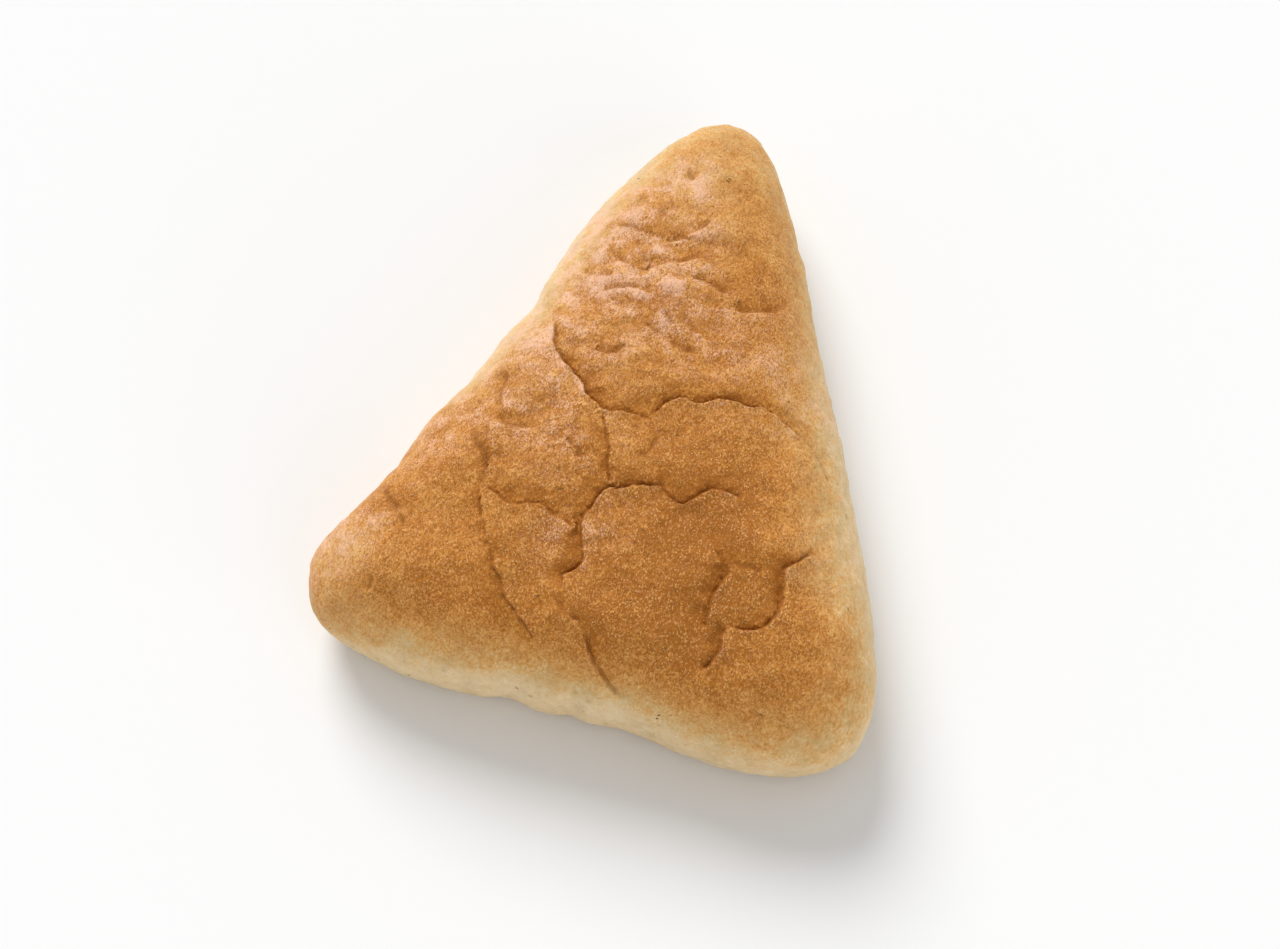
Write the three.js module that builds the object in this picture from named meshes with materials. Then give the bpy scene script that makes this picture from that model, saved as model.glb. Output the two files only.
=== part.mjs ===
// A triangular soft-crust sourdough roll, one solid piece. Millimetres, +Z up.
// The flat base lies on z = 0 and the origin is under the middle of the roll's box.
// The near side runs along X on the -Y side and the long point reaches towards +Y.
import * as THREE from 'three';
import { mergeVertices } from 'three/addons/utils/BufferGeometryUtils.js';

// --- Driving dimensions -------------------------------------------------------------

// The roll is shaped around an upright line through this place, its heart.
const heart = new THREE.Vector2(-8.1, -16.4);

// The outline at its widest: three long sides and three blunt corners. Each is a
// straight face with the direction that it looks in (degrees from +X) and its
// distance from the heart.
const faces = {
  nearSide: { looks: -90, distance: 43.5 },
  leftSide: { looks: 164.5, distance: 31.8 },
  rightSide: { looks: 28.5, distance: 43.9 },
  leftCorner: { looks: 234.5, distance: 70 },
  longPoint: { looks: 91.5, distance: 79 },
  rightCorner: { looks: -39.5, distance: 71.5 },
};
// How sharply neighbouring faces meet: 2 gives a near circle, 20 a cut polygon.
const outlineSharpness = 7.2;

// Places where the dough rose more (+) or less (-) than the straight faces: the
// direction from the heart and the half width in degrees, and the amount. They fade
// out up the shoulder, and `swellLeft` of them is left on the top.
const swellLeft = 0.15;
const swells = [
  { at: 215, amount: 3.4, spread: 4.4 },
  { at: 182, amount: 1.1, spread: 8 },
  { at: 160, amount: -0.7, spread: 14 },
  { at: 131, amount: -1.7, spread: 4 },
  { at: 109, amount: 3.2, spread: 10.4 },
  { at: 87, amount: 2.1, spread: 4.2 },
  { at: 53, amount: -0.6, spread: 13.5 },
  { at: -28, amount: -1.0, spread: 9.6 },
  { at: -63, amount: -1.6, spread: 9.4 },
  { at: -116.5, amount: 2.0, spread: 12.8 },
];

// The wall's section: a round foot, the widest level, and a fuller round shoulder.
const footInset = 6;
const widestLevel = 12;
const shoulderInset = 17;
const shoulderLevel = 27;
const shoulderFullness = 2.2;

// The top is a low dome over the shoulder, and the corners stand a little lower.
const domeRise = 7;
const cornerDroop = 0.12;
const droopReach = 80;

// Folds pressed into the crust. Each runs through a few places seen from above.
const foldDepth = 1.3;
const foldHalfWidth = 2.4;
const folds = {
  upperLeft: [[-23.5, 1.5], [-18, -5.5], [-12.5, -11], [-5, -11.5]],
  upperRight: [[-5, -11.5], [0, -9], [4, -4.5], [10, -1.5], [18, -0.5], [26.5, -3]],
  middle: [[-9, -13], [-6, -18.5], [-4, -24.5], [-6, -31], [-4, -39], [-5, -45], [1, -50], [8, -55.5]],
  arch: [[-3, -24.5], [3, -22.5], [8.5, -23.5], [13.5, -19.5], [18.5, -19]],
  right: [[18, -29.5], [21, -32.5], [19.5, -38], [23.5, -43], [22, -49.5]],
  hook: [[33, -23], [30, -28], [31.5, -34], [29.5, -39], [25.5, -40.5]],
  left: [[-24.5, -34], [-19.5, -42], [-14.5, -48.5], [-6.5, -54.5]],
  leftArch: [[-25, -32.5], [-16, -32], [-8, -33.5]],
};

// How finely the solid is faceted.
const outlinePoints = 144;
const footRings = 5;
const shoulderRings = 8;
const domeRings = 15;
const baseRings = 4;

const crustColour = 0xb87a44;
const crustRoughness = 0.8;

// --- Outline ------------------------------------------------------------------------

const degrees = Math.PI / 180;

// Distance from the heart to the faces when every face is moved in by `inset`.
function facesRadius(angle, inset) {
  let sum = 0;
  for (const face of Object.values(faces)) {
    const facing = Math.max(0, Math.cos(angle - face.looks * degrees));
    sum += (facing / (face.distance - inset)) ** outlineSharpness;
  }
  return sum ** (-1 / outlineSharpness);
}

function swellAt(angle) {
  let total = 0;
  for (const swell of swells) {
    const turn = angle - swell.at * degrees;
    const away = Math.atan2(Math.sin(turn), Math.cos(turn)) / (swell.spread * degrees);
    total += swell.amount * Math.exp(-0.5 * away * away);
  }
  return total;
}

function outlineRadius(angle, inset) {
  const kept = THREE.MathUtils.lerp(1, swellLeft, inset / shoulderInset);
  return facesRadius(angle, inset) + kept * swellAt(angle);
}

// Angles that walk round the widest outline in even steps of length.
const outlineWalk = (() => {
  const steps = 1440;
  const angles = [];
  const lengths = [0];
  for (let i = 0; i <= steps; i++) {
    angles.push((i / steps) * 2 * Math.PI);
  }
  const spot = (angle) => new THREE.Vector2(outlineRadius(angle, 0), 0)
    .rotateAround(new THREE.Vector2(), angle);
  for (let i = 1; i <= steps; i++) {
    lengths.push(lengths[i - 1] + spot(angles[i]).distanceTo(spot(angles[i - 1])));
  }
  return { angles, lengths };
})();

function angleAtShare(share) {
  const { angles, lengths } = outlineWalk;
  const wanted = share * lengths[lengths.length - 1];
  const next = Math.max(1, lengths.findIndex((length) => length >= wanted));
  const part = (wanted - lengths[next - 1]) / (lengths[next] - lengths[next - 1]);
  return THREE.MathUtils.lerp(angles[next - 1], angles[next], part);
}

// --- Height -------------------------------------------------------------------------

// The three long sides alone make a sharp triangle. `share` is the part of its width
// that one unit of distance from a side makes up.
const longSides = (() => {
  const { nearSide, leftSide, rightSide } = faces;
  const between = (a, b) => Math.abs(Math.sin((a.looks - b.looks) * degrees));
  const sides = [
    { ...nearSide, weight: between(leftSide, rightSide) },
    { ...leftSide, weight: between(nearSide, rightSide) },
    { ...rightSide, weight: between(nearSide, leftSide) },
  ];
  const width = sides.reduce((sum, side) => sum + side.weight * side.distance, 0);
  return sides.map((side) => ({ ...side, share: side.weight / width }));
})();

// The dome's height over a place measured from the heart: nothing on the sides, and
// the full rise in the middle of the triangle, where all three shares are a third.
function domeAt(x, y) {
  let product = 27;
  for (const side of longSides) {
    const outward = x * Math.cos(side.looks * degrees) + y * Math.sin(side.looks * degrees);
    product *= Math.max(0, side.share * (side.distance - outward));
  }
  return domeRise * product;
}

function droopAt(x, y) {
  return 1 - cornerDroop * (Math.hypot(x, y) / droopReach) ** 2;
}

const foldPaths = Object.values(folds).map((places) => {
  const curve = new THREE.CatmullRomCurve3(places.map(([x, y]) => new THREE.Vector3(x, y, 0)));
  return curve.getPoints(places.length * 8);
});

// How deep the folds press the crust down at a place in the roll's own frame.
function foldAt(x, y) {
  const place = new THREE.Vector3(x, y, 0);
  const nearest = Math.min(...foldPaths.flat().map((point) => point.distanceTo(place)));
  return foldDepth * Math.exp(-((nearest / foldHalfWidth) ** 2));
}

// --- Rings from the middle of the base, up the wall, to the middle of the top ----------

// One closed ring: each of its points lies at `share` of the way from the heart to
// the outline moved in by `inset`.
function ring({ count, inset, level, share = 1, domed = false }) {
  const points = [];
  for (let i = 0; i < count; i++) {
    const angle = angleAtShare(i / count);
    const radius = share * outlineRadius(angle, inset);
    const x = radius * Math.cos(angle);
    const y = radius * Math.sin(angle);
    let z = level;
    if (domed) {
      z += domeAt(x, y) - foldAt(heart.x + x, heart.y + y);
    }
    points.push(new THREE.Vector3(heart.x + x, heart.y + y, z * droopAt(x, y)));
  }
  return points;
}

function baseRing(step) {
  const share = step / baseRings;
  const count = Math.max(6, Math.round(outlinePoints * share / 6) * 6);
  return ring({ count, share, inset: footInset, level: 0 });
}

function footRing(step) {
  const turn = (1 - step / footRings) * Math.PI / 2;
  const inset = footInset * (1 - Math.cos(turn));
  const level = widestLevel * (1 - Math.sin(turn));
  return ring({ count: outlinePoints, inset, level });
}

function shoulderRing(step) {
  const turn = (step / shoulderRings) * Math.PI / 2;
  const power = 2 / shoulderFullness;
  const inset = shoulderInset * (1 - Math.cos(turn) ** power);
  const level = widestLevel + (shoulderLevel - widestLevel) * Math.sin(turn) ** power;
  return ring({ count: outlinePoints, inset, level, domed: true });
}

function domeRing(step) {
  const share = 1 - step / domeRings;
  const count = Math.max(6, Math.round(outlinePoints * share / 6) * 6);
  return ring({ count, share, inset: shoulderInset, level: shoulderLevel, domed: true });
}

function allRings() {
  const rings = [];
  for (let step = 1; step <= baseRings; step++) {
    rings.push(baseRing(step));
  }
  for (let step = 1; step <= footRings; step++) {
    rings.push(footRing(step));
  }
  for (let step = 1; step <= shoulderRings; step++) {
    rings.push(shoulderRing(step));
  }
  for (let step = 1; step < domeRings; step++) {
    rings.push(domeRing(step));
  }
  return rings;
}

// --- Skin ---------------------------------------------------------------------------

// Triangles between two neighbouring rings, which may differ in their counts. The
// upper ring is the later one, and the faces look away from the heart.
function lace(triangles, lower, upper) {
  let i = 0;
  let j = 0;
  while (i < lower.length || j < upper.length) {
    const a = lower[i % lower.length];
    const b = upper[j % upper.length];
    const lowerNext = (i + 1) / lower.length;
    const upperNext = (j + 1) / upper.length;
    if (j >= upper.length || (i < lower.length && lowerNext <= upperNext)) {
      triangles.push(a, lower[(i + 1) % lower.length], b);
      i++;
    } else {
      triangles.push(a, upper[(j + 1) % upper.length], b);
      j++;
    }
  }
}

function fan(triangles, middle, points, upwards) {
  points.forEach((point, i) => {
    const next = points[(i + 1) % points.length];
    triangles.push(middle, upwards ? point : next, upwards ? next : point);
  });
}

function rollGeometry() {
  const rings = allRings();
  const triangles = [];
  fan(triangles, new THREE.Vector3(heart.x, heart.y, 0), rings[0], false);
  for (let i = 1; i < rings.length; i++) {
    lace(triangles, rings[i - 1], rings[i]);
  }
  const topLevel = shoulderLevel + domeAt(0, 0) - foldAt(heart.x, heart.y);
  fan(triangles, new THREE.Vector3(heart.x, heart.y, topLevel), rings[rings.length - 1], true);
  const geometry = mergeVertices(new THREE.BufferGeometry().setFromPoints(triangles));
  geometry.computeBoundingBox();
  const middle = geometry.boundingBox.getCenter(new THREE.Vector3());
  geometry.translate(-middle.x, -middle.y, 0);
  geometry.computeVertexNormals();
  return geometry;
}

// --- The roll -----------------------------------------------------------------------

const crust = new THREE.MeshStandardMaterial({
  color: crustColour,
  roughness: crustRoughness,
  metalness: 0,
});
const roll = new THREE.Mesh(rollGeometry(), crust);
roll.name = 'bread_roll';

const part = new THREE.Group();
part.add(roll);

export default part;
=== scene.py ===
"""A triangular soft-crust sourdough roll on a pale floor, seen from above and a little to the right.

The roll is one piece of bread. Its skin is laid in rings round an upright line, its heart, from the
same sizes as its solid. Folds, creases, puffs and grain are pressed into that skin along drawn lines,
and loose flour grains and bran flecks lie on it.
"""
import math

import bpy
import mathutils
import numpy as np
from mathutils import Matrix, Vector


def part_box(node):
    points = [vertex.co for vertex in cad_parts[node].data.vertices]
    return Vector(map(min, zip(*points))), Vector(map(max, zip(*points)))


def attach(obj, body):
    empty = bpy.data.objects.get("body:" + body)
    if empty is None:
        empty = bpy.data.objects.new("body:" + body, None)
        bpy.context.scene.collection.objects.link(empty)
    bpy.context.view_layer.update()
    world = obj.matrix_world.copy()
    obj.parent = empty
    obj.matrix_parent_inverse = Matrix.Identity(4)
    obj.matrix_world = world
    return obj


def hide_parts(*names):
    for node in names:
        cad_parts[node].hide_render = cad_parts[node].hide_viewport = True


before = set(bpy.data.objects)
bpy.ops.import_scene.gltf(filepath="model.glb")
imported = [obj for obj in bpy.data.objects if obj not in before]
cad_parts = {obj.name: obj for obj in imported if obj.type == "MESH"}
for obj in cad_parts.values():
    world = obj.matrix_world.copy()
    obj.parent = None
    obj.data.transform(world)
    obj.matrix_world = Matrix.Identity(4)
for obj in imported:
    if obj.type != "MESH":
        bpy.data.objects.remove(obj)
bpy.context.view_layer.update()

MM = 0.001
ROLL_NODE = "bread_roll"
BODY = "root"
SEED = 7


# --- Sizes of the roll, in millimetres and degrees ------------------------------------------------

HEART = (-8.1, -16.4)

# The outline at its widest: the direction that each face looks in, and its distance from the heart.
LONG_SIDES = {
    "near": (-90.0, 43.5),
    "left": (164.5, 31.8),
    "right": (28.5, 43.9),
}
BLUNT_CORNERS = {
    "left": (234.5, 70.0),
    "long point": (91.5, 79.0),
    "right": (-39.5, 71.5),
}
OUTLINE_SHARPNESS = 7.2

# Where the dough rose more or less than the straight faces: direction, amount and half width.
SWELL_LEFT_ON_TOP = 0.15
SWELLS = (
    (215.0, 3.4, 4.4),
    (182.0, 1.1, 8.0),
    (160.0, -0.7, 14.0),
    (131.0, -1.7, 4.0),
    (109.0, 3.2, 10.4),
    (87.0, 2.1, 4.2),
    (53.0, -0.6, 13.5),
    (-28.0, -1.0, 9.6),
    (-63.0, -1.6, 9.4),
    (-116.5, 2.0, 12.8),
)

# Unevenness of the lower edge, which the dough closed over higher up: two small steps and two shallow
# hollows on the near side, and a step and a slight swell on the left side, towards its corner. Each has
# a direction, an amount and a half width.
NOTCHES = (
    (-93.5, -1.1, 2.8),
    (-86.0, -0.4, 6.0),
    (-77.5, -0.8, 2.0),
    (-66.0, -0.8, 6.0),
    (-162.0, -0.9, 2.4),
    (-154.0, 0.5, 4.0),
)

# The share of the wall, from its widest up, over which that unevenness fades out.
NOTCH_TOP = 0.55

# How far the foot and the shoulder stand in from the widest outline, and at what levels they lie.
FOOT_INSET = 6.0
WIDEST_LEVEL = 12.0
SHOULDER_INSET = 17.0
SHOULDER_LEVEL = 27.0
SHOULDER_FULLNESS = 2.2

# How far the dome rises over the shoulder. Three shares that add up to 1 multiply to 1/27 at most.
DOME_RISE = 7.0
DOME_FULL = 27.0

# The skin droops by this share of its height at this distance from the heart.
CORNER_DROOP = 0.12
DROOP_REACH = 80.0

# How finely the skin is laid: the places that the outline is measured at, points round the widest ring,
# what every ring's count divides by, and rings in each stretch.
OUTLINE_PLACES = 2881
OUTLINE_POINTS = 600
RING_STEP = 6
DOME_SHARE = 0.85
BASE_RINGS = 6
FOOT_RINGS = 12
SHOULDER_RINGS = 40
DOME_RINGS = 96

# Sharp folds in the crust: how deep each is, and the places it runs through, seen from above.
FOLDS = {
    "upper left": (0.9, [(-24.2, 3), (-23, -0.5), (-21, -3), (-18, -5.5), (-15.5, -7), (-13.5, -9.2),
                         (-11.2, -10.8), (-9, -11.6), (-7, -11), (-4, -10.6), (-1.5, -10.8)]),
    "upper right": (1.0, [(-1.5, -10.3), (-0.5, -8.4), (1.5, -5.7), (3.5, -4.9), (5.6, -5), (9, -2.7),
                          (14, -1.8), (18, -0.8), (22, -1.5), (27, -3.5)]),
    "middle link": (0.6, [(-9, -13), (-7.5, -15.5), (-6, -18.5), (-5, -22), (-3.5, -24)]),
    "middle": (1.0, [(-2.5, -24.5), (-4, -25.5), (-5.5, -29.5), (-6, -33.5), (-3.5, -39),
                     (-5.5, -42.5), (-5, -45)]),
    "middle foot": (0.5, [(-2.1, -49.1), (-0.7, -49), (0.4, -49.6), (2.1, -51.3), (3.1, -52.9),
                          (5, -54.1), (7.9, -55.8), (11.6, -56.7)]),
    "arch": (0.9, [(-2.5, -25), (1.5, -23), (5, -22), (7.5, -23.5), (9.5, -23.5), (13.5, -19.5),
                   (18.5, -19)]),
    "right": (1.1, [(18.2, -30.1), (19.7, -30.7), (20.5, -31.5), (21.2, -33.3), (20.1, -36.6),
                    (19.9, -38.5), (20.4, -40.4), (20.6, -42.5)]),
    "right foot": (0.8, [(24.3, -42), (23.6, -43.6), (24.2, -45.4), (23.8, -47.8), (22.5, -49.7)]),
    "hook": (1.0, [(32.8, -23.9), (31.6, -25.9), (30.2, -27.8), (30.2, -29.4), (31.1, -31.5),
                   (31.5, -34.7), (31.3, -36.7), (30.6, -38.7), (29, -40), (26.5, -41), (24.6, -41.4)]),
    "left top": (0.4, [(-24.7, -33.1), (-22.9, -36.8), (-20.7, -40)]),
    "left": (0.6, [(-17.9, -44.4), (-17, -45.3), (-15.3, -46.6), (-14.4, -49), (-12, -50.4),
                   (-8.6, -52.7), (-6.9, -53.8)]),
    "left arch": (0.6, [(-24.6, -31.3), (-22.6, -31.7), (-20.3, -32.8), (-18, -33.1), (-14, -31.7),
                        (-12, -32.2), (-10.3, -33.1), (-7.1, -33.7)]),
}

# Softer and wider creases, written the same way.
CREASES = {
    "slant": (0.3, [(0, -18.5), (2, -12.5)]),
    "middle gap": (0.3, [(-5.7, -45.4), (-4.2, -47.5), (-3.5, -48.4)]),
    "left gap": (0.25, [(-20.7, -40), (-19.4, -42.3), (-17.9, -44.4)]),
    "right branch": (0.5, [(20.6, -30.8), (22.6, -30.6), (25.1, -30.5), (26.8, -30.6)]),
    "top one": (0.5, [(-21.9, 28.1), (-17.9, 27.2), (-13.7, 27), (-10.7, 26.5), (-9, 27.8),
                      (-6.4, 27.9)]),
    "top two": (0.35, [(-20, 20.9), (-16.3, 18.9), (-13.4, 18.1), (-9.9, 20.6), (-6.8, 22.7),
                       (-4.1, 24.9)]),
    "top three": (0.4, [(-18.7, 11.7), (-16, 13.3), (-13.6, 14), (-10, 13.6)]),
    "top four": (0.6, [(-4, 19.5), (-1.1, 19.5), (2.9, 19)]),
    "top right": (0.4, [(5.4, 16.2), (9.4, 18), (11.5, 19.7), (12.4, 22.3)]),
    "left notch": (0.4, [(-42.5, -35.1), (-39.3, -38.1), (-37.3, -39.8), (-35.2, -43)]),
    "left corner": (0.3, [(-37.5, -51.5), (-37.5, -54)]),
    "pit": (0.6, [(-13, 42.4), (-11.7, 41.3)]),
    "left faint": (0.5, [(-31, -21.5), (-26, -26.5), (-25, -32)]),
    "left second": (0.4, [(-28, -20.3), (-26.9, -23.6), (-25.5, -27.5)]),
    "left ridge": (0.3, [(-29.8, -8.1), (-28.2, -12.9), (-26.8, -17.6), (-24.5, -19), (-20.6, -18.5)]),
    "small left": (0.5, [(-14, -19), (-12, -19.5), (-10, -21.5)]),
    "top link": (0.3, [(-10.5, 26.6), (-8.3, 27.9), (-5.7, 31.5), (-4.8, 32.7)]),
    "top small": (0.3, [(-14, 30.5), (-14.2, 33), (-11.6, 34.6)]),
    "under top one": (0.35, [(-9.6, 7.8), (-5.2, 6), (-1.4, 4.9), (1.8, 4.9)]),
    "under top two": (0.25, [(-1.7, 10), (3.8, 8.3)]),
    "under top three": (0.4, [(-15.5, 0.1), (-12.2, -0.2), (-10.1, 1.8)]),
    "under top four": (0.25, [(-9.5, 12.5), (-6.5, 10.5), (-4, 8.5)]),
    "top left": (0.3, [(-24.5, 17), (-21.5, 15.5), (-18, 16)]),
    "top slant": (0.25, [(-17, 24.5), (-14.5, 22), (-13, 18.8)]),
    "right tail": (0.7, [(27, -3.5), (29.1, -4.8), (31, -7)]),
}

# How the crust browns up the wall, by direction from the heart: the wall's share where it is still
# pale, and the share where it is brown. The wall runs from 0 at its widest to 1 at the dome's edge.
BROWNING = {
    -165.0: (-0.5, 0.6),
    -150.0: (-0.9, 0.5),
    -137.0: (-0.9, 0.55),
    -127.0: (-0.4, 0.65),
    -118.0: (-0.05, 0.75),
    -90.0: (0.04, 0.76),
    -65.0: (-0.02, 0.8),
    -48.0: (-0.2, 0.9),
    -35.0: (-0.35, 1.0),
    -10.0: (0.05, 1.05),
    30.0: (0.05, 1.05),
    55.0: (-0.15, 0.95),
    75.0: (-0.3, 0.8),
    92.0: (-0.2, 0.75),
    115.0: (0.15, 1.0),
    131.0: (0.25, 0.9),
    165.0: (0.15, 0.8),
    185.0: (-0.1, 0.7),
}

# The top's usual brown, and where it is browner or paler: place, reach and amount.
USUAL_TONE = 0.74
TOP_TONES = (
    ((18.0, -42.0), 20.0, 0.23),
    ((-22.0, -42.0), 18.0, 0.08),
    ((-9.0, 46.0), 16.0, -0.24),
    ((36.0, -20.0), 14.0, -0.18),
    ((12.0, 22.0), 12.0, 0.06),
    ((14.0, -22.0), 12.0, 0.28),
    ((-28.0, -4.0), 14.0, -0.06),
    ((-46.0, -48.0), 10.0, -0.22),
)

# Where flour settled on the crust, and where a sheen is painted on it, most on the side towards the key
# lamp, written the same way.
USUAL_FLOUR_AND_SHEEN = 0.05
FLOUR_AND_SHEEN_PLACES = (
    ((-11.0, 41.0), 6.0, 0.7),
    ((-21.0, 39.0), 9.0, 0.6),
    ((-16.0, 14.0), 13.0, 0.9),
    ((-9.0, 27.0), 9.0, 0.4),
    ((-28.0, 27.0), 10.0, 1.0),
    ((-38.0, 4.0), 12.0, 1.1),
    ((-40.0, -20.0), 10.0, 0.6),
    ((-24.0, -10.0), 13.0, 0.6),
    ((-12.0, -20.0), 9.0, 0.3),
    ((-9.0, -37.0), 6.0, 0.35),
    ((-2.0, -31.0), 4.5, 0.35),
    ((-49.0, -45.0), 11.0, 0.9),
    ((2.0, 9.0), 12.0, 0.4),
    ((24.0, 8.0), 14.0, 0.5),
    ((38.0, -22.0), 9.0, 0.4),
)

# Where the crust shrank into many small wrinkles, written the same way.
USUAL_WRINKLES = 0.25
WRINKLED_PLACES = (
    ((-12.0, 22.0), 18.0, 0.7),
    ((-20.0, -10.0), 12.0, 0.3),
    ((-6.0, -16.0), 12.0, 0.2),
    ((4.0, -34.0), 16.0, 0.1),
)

# Relief pressed into the crust.
RELIEF = {
    "Fold half width": 0.32 * MM,
    "Crease half width": 0.6 * MM,
    "Crack depth": 0.45 * MM,
    "Valley share": 0.9,
    "Valley reach": 5.0 * MM,
    "Lip share": 0.6,
    "Lip reach": 2.2 * MM,
    "Raggedness": 1.6 * MM,
    "Ragged spacing": 3.0 * MM,
    "Puff height": 3.6 * MM,
    "Puff spacing": 15.0 * MM,
    "Pinch height": 2.4 * MM,
    "Pinch spacing": 9.0 * MM,
    "Wrinkle height": 1.35 * MM,
    "Wrinkle spacing": 3.6 * MM,
    "Grain height": 0.35 * MM,
    "Grain spacing": 1.4 * MM,
    "Side wave height": 0.9 * MM,
    "Side wave spacing": 14.0 * MM,
    "Side dimple height": 0.5 * MM,
    "Side dimple spacing": 3.5 * MM,
    "Side pleat height": 0.8 * MM,
    "Side pleat spacing": 4.0 * MM,
}

# The side of each fold that rides over the other looks this way, in degrees.
USUAL_RIDE = -46.4
OTHER_RIDES = {
    "upper left": -135.0,
    "middle foot": -125.0,
    "left": -10.0,
    "left top": -10.0,
}

# A line is drawn in steps this long. It keeps this share of its depth at its ends, and gains the rest
# at this rate along its length.
LINE_STEP = 0.3
LINE_END_SHARE = 0.3
LINE_TAPER = 6.0

# A line is now deeper, now shallower: how far apart that changes, the noise between which it does, the
# least share of its depth, and how much comes on top.
DEPTH_CHANGE_SPACING = 4.0 * MM
DEPTH_CHANGE_RANGE = (0.32, 0.62)
LEAST_DEPTH_SHARE = 0.4
ADDED_DEPTH_SHARE = 0.9

# The skin is laid finer within these distances of the lines.
FINE_BANDS = (
    ({**FOLDS, **CREASES}, 0.9),
    (FOLDS, 0.35),
)

# The small wrinkles run this way round the upright, and are drawn out along it and crowded across it.
WRINKLES_RUN = math.radians(20.0)
WRINKLE_STRETCH = (0.65, 1.2, 1.0)

# The pleats of the pale wall stand upright.
PLEAT_STRETCH = (1.0, 1.0, 0.3)

# Loose things on the crust: how many to a square metre where they lie thickest, and their sizes.
FLOUR_GRAINS = {
    "Density": 200000.0,
    "Smallest": 0.05 * MM,
    "Largest": 0.14 * MM,
    "Flatness": 0.7,
    "Length": 1.2,
}
BRAN_FLECKS = {
    "Density": 2800.0,
    "Smallest": 0.1 * MM,
    "Largest": 0.24 * MM,
    "Flatness": 0.3,
    "Length": 2.2,
}


# --- The roll's form ------------------------------------------------------------------------------

def faces_radius(angle, inset):
    """Distance from the heart to the faces, with every face moved in by inset."""
    total = 0.0
    for looks, distance in [*LONG_SIDES.values(), *BLUNT_CORNERS.values()]:
        facing = np.maximum(0.0, np.cos(angle - math.radians(looks)))
        total = total + (facing / (distance - inset)) ** OUTLINE_SHARPNESS
    return total ** (-1.0 / OUTLINE_SHARPNESS)


def bell(angle, middle, spread):
    """A smooth hump over directions, 1 in the middle."""
    turn = angle - math.radians(middle)
    away = np.arctan2(np.sin(turn), np.cos(turn)) / math.radians(spread)
    return np.exp(-0.5 * away * away)


def outline_radius(angle, inset):
    kept = 1.0 + (SWELL_LEFT_ON_TOP - 1.0) * inset / SHOULDER_INSET
    swell = sum(amount * bell(angle, middle, spread) for middle, amount, spread in SWELLS)
    return faces_radius(angle, inset) + kept * swell


def dome_at(x, y):
    """Height that the dome adds: nothing over the three long sides, its full rise in their middle."""
    looks = [math.radians(side[0]) for side in LONG_SIDES.values()]
    distances = [side[1] for side in LONG_SIDES.values()]
    weights = [abs(math.sin(looks[i - 1] - looks[i - 2])) for i in range(3)]
    width = sum(weight * distance for weight, distance in zip(weights, distances))
    product = DOME_FULL
    for look, distance, weight in zip(looks, distances, weights):
        outward = x * math.cos(look) + y * math.sin(look)
        product = product * np.maximum(0.0, weight * (distance - outward) / width)
    return DOME_RISE * product


def droop_at(x, y):
    return 1.0 - CORNER_DROOP * (x * x + y * y) / DROOP_REACH ** 2


def even_angles(count):
    """Directions from the heart that walk round the widest outline in even steps."""
    angles = np.linspace(0.0, 2.0 * math.pi, OUTLINE_PLACES)
    radii = outline_radius(angles, 0.0)
    steps = np.hypot(np.diff(radii * np.cos(angles)), np.diff(radii * np.sin(angles)))
    walked = np.concatenate([[0.0], np.cumsum(steps)])
    wanted = np.arange(count) / count * walked[-1]
    return np.interp(wanted, walked, angles)


def ring(count, inset, level, climb, share=1.0, domed=False):
    """One closed ring of points, at share of the way from the heart to the outline.

    A point is x, y, z and climb, which says how far up the wall the ring is.
    """
    angles = even_angles(count)
    notched = min(1.0, max(0.0, 1.0 - climb / NOTCH_TOP))
    notches = sum(amount * bell(angles, middle, spread) for middle, amount, spread in NOTCHES)
    radii = share * (outline_radius(angles, inset) + notched * notches)
    x = radii * np.cos(angles)
    y = radii * np.sin(angles)
    z = np.full(count, level)
    if domed:
        z = z + dome_at(x, y)
    return np.stack([HEART[0] + x, HEART[1] + y, z * droop_at(x, y), np.full(count, climb)], axis=1)


def points_in_ring(share):
    return max(RING_STEP, round(OUTLINE_POINTS * share / RING_STEP) * RING_STEP)


def all_rings():
    """Rings from the middle of the base, up the wall, to the middle of the top."""
    rings = []
    for step in range(1, BASE_RINGS + 1):
        share = step / BASE_RINGS
        rings.append(ring(points_in_ring(share ** 2), FOOT_INSET, 0.0, -1.0, share))
    for step in range(1, FOOT_RINGS + 1):
        turn = (1.0 - step / FOOT_RINGS) * math.pi / 2
        inset = FOOT_INSET * (1.0 - math.cos(turn))
        level = WIDEST_LEVEL * (1.0 - math.sin(turn))
        rings.append(ring(OUTLINE_POINTS, inset, level, step / FOOT_RINGS - 1.0))
    power = 2.0 / SHOULDER_FULLNESS
    for step in range(1, SHOULDER_RINGS + 1):
        climb = step / SHOULDER_RINGS
        turn = climb * math.pi / 2
        inset = SHOULDER_INSET * (1.0 - math.cos(turn) ** power)
        level = WIDEST_LEVEL + (SHOULDER_LEVEL - WIDEST_LEVEL) * math.sin(turn) ** power
        count = points_in_ring(1.0 + (DOME_SHARE - 1.0) * climb)
        rings.append(ring(count, inset, level, climb, domed=True))
    for step in range(1, DOME_RINGS):
        share = 1.0 - step / DOME_RINGS
        count = points_in_ring(DOME_SHARE * share)
        rings.append(ring(count, SHOULDER_INSET, SHOULDER_LEVEL, 2.0 - share, share, domed=True))
    return rings


def lace(lower_start, lower_count, upper_start, upper_count):
    """Triangles between two neighbouring rings, looking away from the heart."""
    triangles = []
    i = 0
    j = 0
    while i < lower_count or j < upper_count:
        low = lower_start + i % lower_count
        high = upper_start + j % upper_count
        lower_is_next = (i + 1) / lower_count <= (j + 1) / upper_count
        if j >= upper_count or (i < lower_count and lower_is_next):
            triangles.append((low, lower_start + (i + 1) % lower_count, high))
            i += 1
        else:
            triangles.append((low, upper_start + (j + 1) % upper_count, high))
            j += 1
    return triangles


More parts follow.
